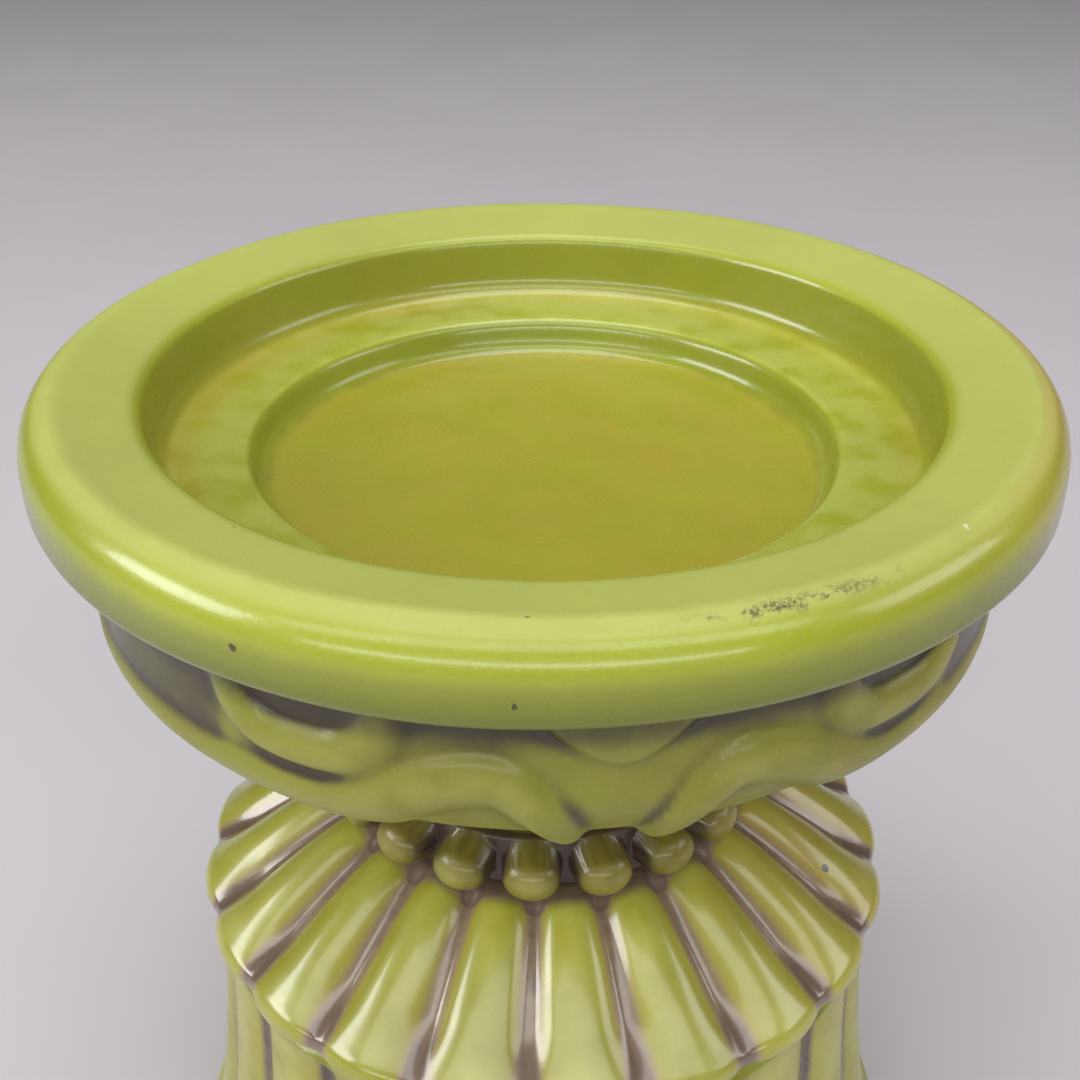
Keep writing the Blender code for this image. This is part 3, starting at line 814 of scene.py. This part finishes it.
def swag_height(place, drop):
    """Height of the swag's band, from the distance to its middle line, which is drawn as 160 points.

    The line falls from the arch to the foot as the square of the angle, and to its low run as half a
    cosine wave. Past the arch its lower side melts into the wall, so there the band is much wider.
    """
    angle = np.linspace(SWAG_FOOT_PLACE, np.pi / REPEATS + 0.1, 160)
    to_foot = np.clip((SWAG_TOP_PLACE - angle) / (SWAG_TOP_PLACE - SWAG_FOOT_PLACE), 0, 1)
    to_low = np.clip((angle - SWAG_TOP_PLACE) / (LOBE_PLACE - SWAG_TOP_PLACE), 0, 1)
    line = SWAG_TOP_DROP + (SWAG_FOOT_DROP - SWAG_TOP_DROP) * to_foot**2
    line = line + (SWAG_LOW_DROP - SWAG_TOP_DROP) * (0.5 - 0.5 * np.cos(np.pi * to_low))
    width = SWAG_HALF_WIDTH + (SWAG_FOOT_HALF_WIDTH - SWAG_HALF_WIDTH) * to_foot
    nearest = np.full(np.broadcast_shapes(place.shape, drop.shape), 1.0)
    half_width = np.zeros_like(nearest)
    line_drop = np.zeros_like(nearest)
    for at, fall, half in zip(angle, line, width):
        distance = np.hypot((place - at) * BOWL_RADIUS * 0.95, drop - fall)
        closer = distance < nearest
        nearest = np.where(closer, distance, nearest)
        half_width = np.where(closer, half, half_width)
        line_drop = np.where(closer, fall, line_drop)
    melt = eased(place, SWAG_TOP_PLACE + 0.07, LOBE_PLACE) * (drop > line_drop)
    half_width = half_width * (1 + 2.2 * melt)
    melted = 0.5 + 0.5 * np.cos(np.pi * np.clip(nearest / half_width, 0, 1))
    round_band = rod(nearest, half_width)
    return np.where(melt > 0, (1 - melt) * round_band + melt * melted, round_band)


bowl_drops = np.concatenate([np.linspace(0, 24, 46)[:-1], np.linspace(24, 48.2, 58)])[:, None] * MM
bowl_wall = np.hstack([bowl_radius(bowl_drops), bowl_high.z - bowl_drops])
bowl_inside = outline(
    [
        (BOWL_FOOT_RADIUS - 0.2 * MM, bowl_foot, 0.6 * MM),
        (stem_spigot, bowl_foot, 0.3 * MM),
        (stem_spigot, bowl_low.z, 0.6 * MM),
        (COLLAR_BORE_RADIUS, bowl_low.z, 0.6 * MM),
        (COLLAR_BORE_RADIUS, bowl_foot + CAST_WALL, 3 * MM),
        (bowl_radius(36 * MM) - 6.2 * MM, bowl_high.z - 36 * MM, 6 * MM),
        (bowl_radius(22 * MM) - 5.6 * MM, bowl_high.z - 22 * MM, 6 * MM),
        (BOWL_RADIUS - CAST_WALL, bowl_high.z - 12 * MM, 6 * MM),
        (BOWL_RADIUS - CAST_WALL, bowl_high.z, 0.3 * MM),
    ],
    2.4 * MM,
    ring=False,
)
bowl_profile = np.vstack([bowl_wall, bowl_inside])
bowl_a = azimuths(BOWL_COLUMNS)
bowl_place = np.abs(turn_from(bowl_a, TONGUE_PHASE, 2 * np.pi / REPEATS))
bowl_drop = bowl_high.z - bowl_profile[:, 1, None]
bowl_outer = np.arange(len(bowl_profile))[:, None] < len(bowl_wall)
lobe_gap, lobe_size = lobe_distance(bowl_place, bowl_drop)
swag = swag_height(bowl_place, bowl_drop)
lobes = rod(lobe_gap, LOBE_HALF_WIDTH)
tongues = tongue_height(bowl_place, bowl_drop)
bowl_bands = softened(np.maximum(np.maximum(lobes, tongues), swag), 1) * bowl_outer
bowl_relief = BAND_PROUD * bowl_bands + hand_wave(bowl_a, bowl_profile[:, 1, None], HAND_WAVE)
bowl_r, bowl_z = pushed(bowl_profile, bowl_relief)
in_lobe = (1 - eased(lobe_size, 0.62, 0.9)) * (1 - lobes)
pocket = eased(bowl_place, LOBE_PLACE + LOBE_HALF_ANGLE, LOBE_PLACE + LOBE_HALF_ANGLE + 0.06)
pocket = pocket * (1 - swag) * eased(bowl_drop, 1 * MM, 9 * MM)
pocket = pocket * (1 - eased(bowl_drop, 13 * MM, 18 * MM))
bowl_crease = np.clip(settled(bowl_relief, 14) / (0.6 * MM), 0, 1)
under_lobe = near(bowl_place, LOBE_PLACE + np.radians(2), np.radians(7))
under_lobe = under_lobe * near(bowl_drop, 14 * MM, 2.6 * MM)
lobe_top = near(bowl_place, LOBE_PLACE + np.radians(3), np.radians(4))
lobe_top = lobe_top * near(bowl_drop, 5 * MM, 3 * MM)
arch_end = near(bowl_place, SWAG_FOOT_PLACE, np.radians(5)) * near(bowl_drop, 19 * MM, 6 * MM)
brown_spots = 1.1 * under_lobe + 0.7 * lobe_top + 1.0 * arch_end
# Painted shadow: a dark band at the top of the bowl, where the rim's overhang shades it, weaker on the
# raised bands.
painted_rim_shadow = 1.05 * (1 - eased(bowl_drop, 3.5 * MM, 9 * MM)) * (1 - 0.4 * bowl_bands)
# The bowl's pool mask holds the brown glaze in the hollows and also this painted shadow.
bowl_pool_and_shadow = bowl_crease * (0.55 + brown_spots) + 0.3 * in_lobe + 0.75 * pocket + painted_rim_shadow
bowl_pool_and_shadow = bowl_pool_and_shadow * bowl_outer
bowl_pool_and_shadow = bowl_pool_and_shadow + 0.8 * eased(bowl_drop, 45 * MM, 48 * MM) * bowl_outer
bowl_thin = np.clip(bowl_bands - 0.6, 0, 1) * bowl_outer
bowl_side = near(turn_from(bowl_a, np.radians(80)), 0, np.radians(30))
bowl_warm = 0.15 + 0.6 * bowl_side * (1 - eased(bowl_drop, 12 * MM, 26 * MM))
relief_bowl = turned(
    "relief_bowl_glazed",
    bowl_r,
    bowl_z,
    {"pool_and_shadow": bowl_pool_and_shadow, "thin": 0.5 * bowl_thin, "warm": bowl_warm},
)
# Painted shade: the bowl's glaze colours are darker than the rim's, as in the shade under the rim's
# overhang; its dark olive pool colour also paints the shadow under the rim.
relief_bowl.data.materials.append(
    finished(
        glazed(
            "shaded_glaze_on_bowl",
            clear=(0.205, 0.235, 0.016, 1),
            deep=(0.145, 0.162, 0.008, 1),
            roughness=0.44,
            brown=(0.055, 0.046, 0.01, 1),
            dark=(0.035, 0.024, 0.01, 1),
            coat=0.15,
        )
    )
)
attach(relief_bowl, "root")
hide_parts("relief_bowl")


# --- Candle pan --------------------------------------------------------------------------------
# The top of the candlestick, cast in one: a broad rim whose flat leans in a little, its edge rolled
# over, a ledge for a wide candle and below it a floor for a narrow one. It stands in the bowl's mouth.

RIM_THICKNESS = 10.5 * MM
RIM_DISH = 2.0 * MM
RIM_NOSE_WIDTH = 4.6 * MM
RIM_NOSE_DROP = 5.5 * MM
RIM_LIP_RADIUS = 1.8 * MM
WIDE_SEAT = 51.9 * MM
NARROW_SEAT = 39.1 * MM
LEDGE_DEPTH = 11.2 * MM
FLOOR_DEPTH = 16.2 * MM
SEAT_DRAFT = 1.0 * MM
PAN_COLUMNS = 480
PAN_WAVE = 0.16 * MM
LIP_RIDGE = 0.16 * MM
FLOOR_RING = 0.02 * MM
FLOOR_RING_PITCH = 7 * MM
# The flat's paler, greyer olive: partly its dull matte glaze, partly painted sheen.
PALE_FLAT_AND_SHEEN = (0.5, 0.52, 0.2, 1)
# Painted shade for the roll's underside and the well's steep walls.
PAINTED_ROLL_SHADE = (0.12, 0.135, 0.006, 1)
RUBBED = (0.055, 0.042, 0.02, 1)
PALE_NICK = (0.62, 0.64, 0.4, 1)
PAN_MARKS = [  # place in mm, size in mm, colour
    ((-30.6, -59.4, 146.6), 0.55, RUBBED),
    ((-3.0, -66.9, 145.0), 0.45, RUBBED),
    ((12.9, -57.4, 151.9), 0.5, PALE_NICK),
    ((44.0, -45.0, 151.5), 0.6, PALE_NICK),
]

pan_low, pan_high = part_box("candle_pan")
rim_radius = pan_high.x
rim_foot = pan_high.z - RIM_THICKNESS
pan_ledge = pan_high.z - LEDGE_DEPTH
pan_floor = pan_high.z - FLOOR_DEPTH
flat_outer = rim_radius - RIM_NOSE_WIDTH
well = outline(
    [
        (0.0, pan_floor, 0),
        (NARROW_SEAT - SEAT_DRAFT, pan_floor, 2.4 * MM),
        (NARROW_SEAT + 0.2 * MM, pan_ledge, 1.5 * MM),
        (WIDE_SEAT - SEAT_DRAFT, pan_ledge, 3.0 * MM),
        (WIDE_SEAT + 0.2 * MM, pan_high.z - RIM_DISH, 1.6 * MM),
        (flat_outer - 1.0 * MM, pan_high.z - 0.1 * MM, 0),
    ],
    0.85 * MM,
    ring=False,
)
nose_angle = np.radians(np.linspace(88, 0, 24))[:, None]
nose = np.hstack(
    [
        flat_outer + RIM_NOSE_WIDTH * np.cos(nose_angle),
        pan_high.z - RIM_NOSE_DROP * (1 - np.sin(nose_angle)),
    ]
)
lip_angle = np.radians(np.linspace(0, -90, 12))[:, None]
lip_centre = np.array([rim_radius - RIM_LIP_RADIUS, rim_foot + RIM_LIP_RADIUS])
lip = lip_centre + RIM_LIP_RADIUS * np.hstack([np.cos(lip_angle), np.sin(lip_angle)])
nose = np.vstack([nose, lip])
tub = BOWL_RADIUS - CAST_WALL - LUTE_GAP
pan_under = outline(
    [
        (BOWL_RADIUS + 1.2 * MM, rim_foot, 0.5 * MM),
        (tub, rim_foot, 0.3 * MM),
        (tub, pan_low.z + CAST_WALL, 1.0 * MM),
        (NARROW_SEAT + CAST_WALL, pan_low.z + CAST_WALL, 0.6 * MM),
        (NARROW_SEAT + CAST_WALL, pan_low.z, 2.0 * MM),
        (0.0, pan_low.z, 0),
    ],
    2.0 * MM,
    ring=False,
)
pan_profile = np.vstack([well, nose, pan_under])
pan_a = azimuths(PAN_COLUMNS)
pan_r0 = pan_profile[:, 0, None]
pan_z0 = pan_profile[:, 1, None]
pan_row = np.arange(len(pan_profile))[:, None]
pan_shown = pan_row < len(well) + len(nose)
from_axis = eased(pan_r0, 0.0, 20 * MM)
pan_wave = hand_wave(pan_a, pan_r0, PAN_WAVE) * from_axis
lip_ridge = LIP_RIDGE * near(pan_r0, flat_outer, 0.9 * MM) * (pan_z0 > rim_foot + 7 * MM)
floor_rings = FLOOR_RING * np.sin(2 * np.pi * pan_r0 / FLOOR_RING_PITCH)
floor_rings = floor_rings * (pan_r0 < NARROW_SEAT - 4 * MM) * from_axis
pan_relief = (pan_wave + lip_ridge + floor_rings) * pan_shown
pan_r, pan_z = pushed(pan_profile, pan_relief, ring=False)
pan_r = np.where(pan_r0 == 0, 0.0, pan_r)

pan_run = np.gradient(pan_profile, axis=0)
pan_steep = eased(np.abs(pan_run[:, 1]) / np.hypot(pan_run[:, 0], pan_run[:, 1]), 0.4, 0.95)[:, None]
on_ledge = near(pan_z0, pan_ledge, 0.6 * MM) * (1 - pan_steep) * pan_shown
left_back = turn_from(pan_a, np.radians(-110))
past_edge = eased(pan_r0, flat_outer + 1.6 * MM, flat_outer + 3.2 * MM)
on_floor = (pan_r0 < NARROW_SEAT - 2 * MM) * pan_shown
on_wall = (pan_z0 < pan_high.z - RIM_DISH - 1 * MM) * (pan_r0 < flat_outer) * pan_shown
on_nose = (pan_r0 > flat_outer + 0.5 * MM) * pan_shown
right_edge = turn_from(pan_a, np.radians(85))
pan_corner = near(pan_r0, NARROW_SEAT - SEAT_DRAFT - 0.5 * MM, 1.3 * MM) * near(pan_z0, pan_floor, 1.6 * MM)
pan_corner = pan_corner + near(pan_r0, WIDE_SEAT - SEAT_DRAFT, 1.3 * MM) * near(pan_z0, pan_ledge, 1.6 * MM)
pan_foot = near(pan_z0, rim_foot, 0.8 * MM) * (pan_r0 > flat_outer - 2 * MM)
wall_warm = (0.25 + 0.35 * near(left_back, 0, np.radians(60))) * on_wall
wall_warm = wall_warm * near(pan_r0, WIDE_SEAT - 3 * MM, 3 * MM)
pan_warm = near(right_edge, 0, np.radians(32)) * on_nose + 0.5 * on_floor + wall_warm
scuff = near(pan_r0, flat_outer + 1.5 * MM, 0.8 * MM) * (pan_z0 > rim_foot + 8 * MM)
scuff = scuff * near(pan_a, np.radians(22), np.radians(10))
# Mask of the matte flat: it roughens the glaze there and also paints a pale sheen into its colour.
matte_and_sheen = eased(pan_r0, WIDE_SEAT, WIDE_SEAT + 2 * MM) * (pan_z0 > pan_high.z - 4 * MM)
candle_pan = turned(
    "candle_pan_glazed",
    pan_r,
    pan_z,
    {
        "pool_and_shadow": (0.38 * pan_corner + 0.3 * pan_foot) * pan_shown,
        "thin": (0.2 * near(pan_r0, flat_outer + 0.3 * MM, 1.2 * MM) + 0.4 * on_ledge) * pan_shown,
        "warm": pan_warm,
        "scuff": scuff,
        # low: painted shade, a darker olive on the lower roll and on the well's steep walls.
        "low": eased(pan_high.z - pan_z0, 3.0 * MM, 8.0 * MM) * on_nose + 0.5 * pan_steep * on_wall,
        "matte_and_sheen": matte_and_sheen * (1 - past_edge),
    },
    ring=False,
)


def rubbed_pan():
    """The pan's glaze: matte on the flat and pale there with painted sheen, darker with painted shade
    under the roll and on the well's steep walls, rubbed dark in streaks.
    """
    made, tree, place, shader, colour, gloss = glazed(
        "glaze_on_pan",
        clear=(0.335, 0.38, 0.028, 1),
        deep=(0.285, 0.32, 0.018, 1),
        roughness=0.27,
        warm=(0.42, 0.29, 0.045, 1),
        coat_roughness=0.11,
        peel=0.03 * MM,
    )
    flat = mask_on(tree, "matte_and_sheen")
    # Partly the matte glaze's own dull colour, partly painted sheen.
    colour = blended(tree, sums(tree, "MULTIPLY", flat, 0.35), colour, PALE_FLAT_AND_SHEEN)
    gloss = sums(tree, "ADD", gloss, sums(tree, "MULTIPLY", flat, 0.38))
    lacquer = sums(tree, "MULTIPLY", sums(tree, "SUBTRACT", 1.0, flat), 0.35)
    tree.links.new(lacquer, shader.inputs["Coat Weight"])
    # Painted shade: the low mask darkens the roll's underside and the well's steep walls.
    colour = blended(tree, sums(tree, "MULTIPLY", mask_on(tree, "low"), 0.85), colour, PAINTED_ROLL_SHADE)
    scraps = between(tree, noise(tree, place, 330, 4, 0.7), 0.46, 0.56)
    grit = between(tree, noise(tree, place, 2400, 3, 0.7), 0.35, 0.6)
    worn = sums(tree, "MULTIPLY", sums(tree, "MULTIPLY", mask_on(tree, "scuff"), scraps), grit)
    colour = blended(tree, worn, colour, RUBBED)
    for middle, size, paint in PAN_MARKS:
        inputs = {"Place": place, "Middle": [value * MM for value in middle], "Size": size * MM}
        mark = put(tree, "Group", inputs, node_tree=CHIP)
        colour = blended(tree, mark.outputs["Mask"], colour, paint)
    return finished((made, tree, place, shader, colour, gloss))


candle_pan.data.materials.append(rubbed_pan())
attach(candle_pan, "root")
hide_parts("candle_pan")


# --- Floor, light and camera -------------------------------------------------------------------
# A plain pale table top under five soft boxes: one overhead, a wide one above the front, a long low
# strip in front and one on each side. The camera is above the front and looks down over the rim.

FLOOR_RADIUS = 6.0
FLOOR_COLUMNS = 96
TABLE_SHADE = (0.52, 0.49, 0.515, 1)
TABLE_LIGHT = (0.58, 0.55, 0.575, 1)

floor_r = np.array([0.0, 0.2, 0.5, 1.0, 2.0, 4.0, FLOOR_RADIUS])[:, None]
floor_places = np.stack(
    [
        floor_r * np.sin(azimuths(FLOOR_COLUMNS)),
        -floor_r * np.cos(azimuths(FLOOR_COLUMNS)),
        np.zeros((len(floor_r), FLOOR_COLUMNS)),
    ],
    -1,
)
floor_index = np.arange(floor_r.size * FLOOR_COLUMNS).reshape(floor_r.size, FLOOR_COLUMNS)
floor_index[0] = 0
floor_next = np.roll(floor_index, -1, axis=1)
floor_faces = np.stack([floor_index[:-1], floor_index[1:], floor_next[1:], floor_next[:-1]], -1)
floor_mesh = bpy.data.meshes.new("table_top")
floor_mesh.from_pydata(
    floor_places.reshape(-1, 3),
    [],
    floor_faces[0][:, [0, 1, 2]].tolist() + floor_faces[1:].reshape(-1, 4).tolist(),
)
floor = bpy.data.objects.new("table_top", floor_mesh)
bpy.context.scene.collection.objects.link(floor)
floor_paint, floor_tree, floor_place, floor_shader = new_material("pale_table_paint")
floor_cloud = noise(floor_tree, floor_place, 9, 4)
floor_colour = blended(floor_tree, floor_cloud, TABLE_SHADE, TABLE_LIGHT)
floor_tree.links.new(floor_colour, floor_shader.inputs["Base Color"])
floor_shader.inputs["Roughness"].default_value = 0.75
floor_mesh.materials.append(floor_paint)

world = bpy.data.worlds.new("soft_studio")
world.use_nodes = True
world.node_tree.nodes["Background"].inputs["Color"].default_value = (0.86, 0.9, 1.0, 1)
world.node_tree.nodes["Background"].inputs["Strength"].default_value = 0.07
bpy.context.scene.world = world


def soft_box(name, place, aim, width, height, power):
    """A rectangular area light at a place, turned to shine towards aim."""
    lamp = bpy.data.lights.new(name, "AREA")
    lamp.shape = "RECTANGLE"
    lamp.size = width
    lamp.size_y = height
    lamp.energy = power
    made = bpy.data.objects.new(name, lamp)
    bpy.context.scene.collection.objects.link(made)
    made.location = place
    made.rotation_euler = (Vector(aim) - Vector(place)).to_track_quat("-Z", "Y").to_euler()


soft_box("overhead_box", (0, 0.05, 1.45), (0, 0, 0.1), 0.9, 0.9, 10.8)
soft_box("key_box", (0, -0.8, 1.22), (0, 0, 0.1), 2.6, 0.42, 11.0)
soft_box("front_strip", (-0.1, -1.3, 0.55), (0, 0, 0.12), 2.4, 0.16, 9.0)
soft_box("left_box", (-1.25, -0.25, 0.66), (0, 0, 0.1), 0.8, 0.4, 9.5)
soft_box("right_box", (1.25, -0.15, 0.66), (0, 0, 0.1), 0.8, 0.4, 3.6)

lens = bpy.data.cameras.new("camera")
lens.sensor_width = 36.0
lens.lens = 48.33
camera = bpy.data.objects.new("camera", lens)
bpy.context.scene.collection.objects.link(camera)
camera.location = (-0.00054, -0.1762, 0.2283)
camera.rotation_euler = (np.radians(59.23), 0, 0)
bpy.context.scene.camera = camera
